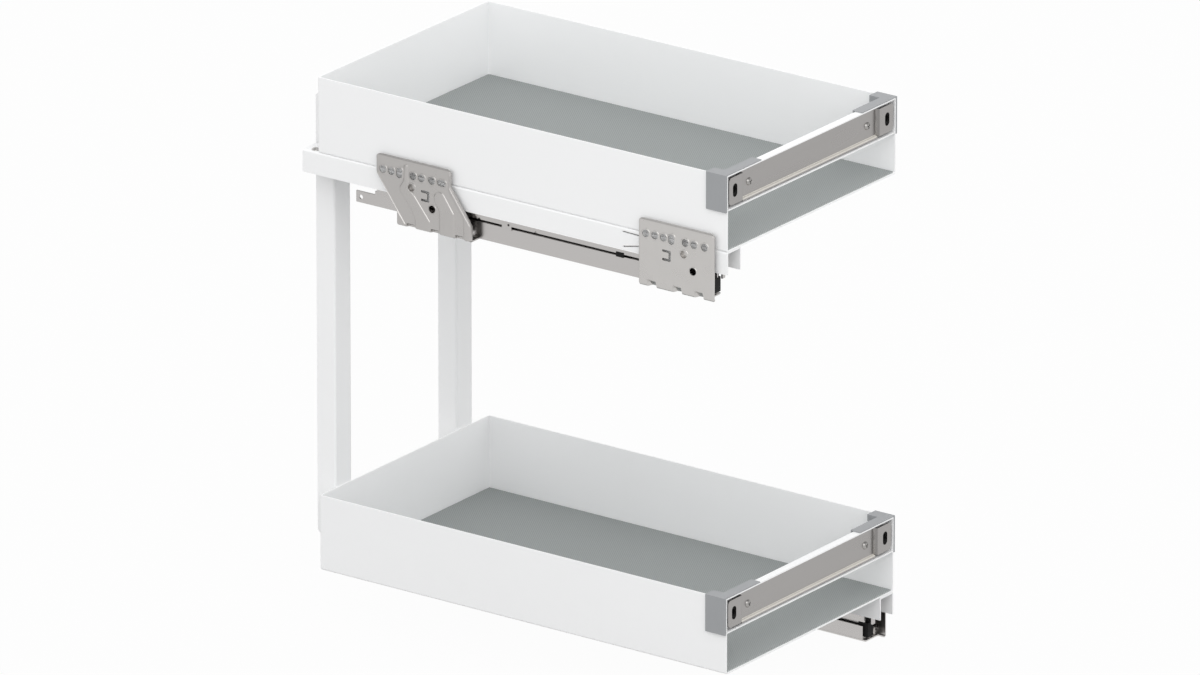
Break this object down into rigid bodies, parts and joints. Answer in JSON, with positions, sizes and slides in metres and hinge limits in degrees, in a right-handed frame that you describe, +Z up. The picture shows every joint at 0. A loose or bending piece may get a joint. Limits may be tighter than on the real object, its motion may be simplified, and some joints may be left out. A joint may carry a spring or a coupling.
{
  "type": "pull-out base unit rack",
  "caption": "Narrow two-tier pull-out rack for a kitchen base cabinet: open-fronted steel trays on rear posts, carried by concealed ball runners.",
  "frame": {"origin": "under the middle of the rack's overall box, at the lower edge of the lower runner's plates", "axes": "+X across the cabinet to the right, +Y to the cabinet's back, +Z up; the rack pulls out along -Y"},
  "size_m": [0.262, 0.4538, 0.5002],
  "materials": {
    "white_steel": "smooth white powder coat, slightly satin",
    "zinc_steel": "matt zinc-plated sheet",
    "bright_steel": "bright zinc-plated",
    "grey_plastic": "fine-grained moulding",
    "grip_mat": "fine diamond-textured anti-slip mat",
    "black_plastic": "matt moulding"
  },
  "bodies": {
    "cabinet": {"left_front_plate": "zinc_steel", "right_front_plate": "zinc_steel", "left_rear_plate": "zinc_steel", "right_rear_plate": "zinc_steel", "left_cabinet_rail": "zinc_steel", "right_cabinet_rail": "zinc_steel", "left_plate_rivets": "bright_steel", "right_plate_rivets": "bright_steel"},
    "rack": {"upper_tray": "white_steel", "lower_tray": "white_steel", "upper_mat": "grip_mat", "lower_mat": "grip_mat", "upper_front_rail": "white_steel", "lower_front_rail": "white_steel", "upper_front_strip": "zinc_steel", "lower_front_strip": "zinc_steel", "upper_strip_screws": "bright_steel", "lower_strip_screws": "bright_steel", "upper_panel_clips": "black_plastic", "lower_panel_clips": "black_plastic", "upper_left_cap": "grey_plastic", "upper_right_cap": "grey_plastic", "lower_left_cap": "grey_plastic", "lower_right_cap": "grey_plastic", "left_beam": "white_steel", "right_beam": "white_steel", "left_post": "white_steel", "right_post": "white_steel", "upper_post_nuts": "bright_steel", "lower_post_nuts": "bright_steel", "left_drawer_rail": "zinc_steel", "right_drawer_rail": "zinc_steel", "left_rail_screws": "bright_steel", "right_rail_screws": "bright_steel", "left_rail_stop": "black_plastic", "right_rail_stop": "black_plastic"},
    "left_middle": {"left_middle_rail": "zinc_steel", "left_middle_cap": "black_plastic"},
    "left_lower_carriage": {"left_lower_cage": "bright_steel", "left_lower_balls": "bright_steel"},
    "left_upper_carriage": {"left_upper_cage": "bright_steel", "left_upper_balls": "bright_steel"},
    "right_middle": {"right_middle_rail": "zinc_steel", "right_middle_cap": "black_plastic"},
    "right_lower_carriage": {"right_lower_cage": "bright_steel", "right_lower_balls": "bright_steel"},
    "right_upper_carriage": {"right_upper_cage": "bright_steel", "right_upper_balls": "bright_steel"}
  },
  "joints": [
    {"name": "rack_slide", "type": "slide", "parent": "cabinet", "child": "rack", "axis": [0, -1, 0], "range_m": [0, 0.38]},
    {"name": "left_middle_slide", "type": "slide", "parent": "cabinet", "child": "left_middle", "axis": [0, -1, 0], "range_m": [0, 0.19]},
    {"name": "left_lower_carriage_slide", "type": "slide", "parent": "cabinet", "child": "left_lower_carriage", "axis": [0, -1, 0], "range_m": [0, 0.095]},
    {"name": "left_upper_carriage_slide", "type": "slide", "parent": "cabinet", "child": "left_upper_carriage", "axis": [0, -1, 0], "range_m": [0, 0.285]},
    {"name": "right_middle_slide", "type": "slide", "parent": "cabinet", "child": "right_middle", "axis": [0, -1, 0], "range_m": [0, 0.19]},
    {"name": "right_lower_carriage_slide", "type": "slide", "parent": "cabinet", "child": "right_lower_carriage", "axis": [0, -1, 0], "range_m": [0, 0.095]},
    {"name": "right_upper_carriage_slide", "type": "slide", "parent": "cabinet", "child": "right_upper_carriage", "axis": [0, -1, 0], "range_m": [0, 0.285]}
  ],
  "couplings": [
    {"joint": "left_middle_slide", "follows": "rack_slide", "ratio": 0.5},
    {"joint": "left_lower_carriage_slide", "follows": "rack_slide", "ratio": 0.25},
    {"joint": "left_upper_carriage_slide", "follows": "rack_slide", "ratio": 0.75},
    {"joint": "right_middle_slide", "follows": "rack_slide", "ratio": 0.5},
    {"joint": "right_lower_carriage_slide", "follows": "rack_slide", "ratio": 0.25},
    {"joint": "right_upper_carriage_slide", "follows": "rack_slide", "ratio": 0.75}
  ]
}
